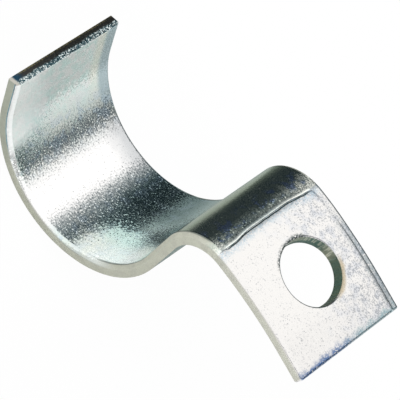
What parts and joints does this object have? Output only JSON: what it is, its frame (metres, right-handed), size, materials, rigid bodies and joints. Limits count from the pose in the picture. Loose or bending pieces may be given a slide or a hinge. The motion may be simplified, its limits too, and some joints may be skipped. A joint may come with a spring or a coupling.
{
  "type": "pipe clip",
  "caption": "One-lug pipe clip bent from a single zinc-plated steel strip: a flat punched foot, a leg and an open round seat with a lead-in lip for a pipe.",
  "frame": {"origin": "middle of the screw hole, on the plane of the foot's mounting face", "axes": "+Z out of the mounting face, towards the ceiling or joist that it is screwed to; +X from the pipe towards the end of the foot; Y along the pipe"},
  "size_m": [0.0518, 0.0199, 0.0345],
  "materials": {
    "zinc_plate": "bright zinc plate with a thin blue passivation, satin and finely grained where the strip was bent, bare and matt on its sheared edges"
  },
  "bodies": {
    "root": {"pipe_clip": "zinc_plate"}
  },
  "joints": []
}
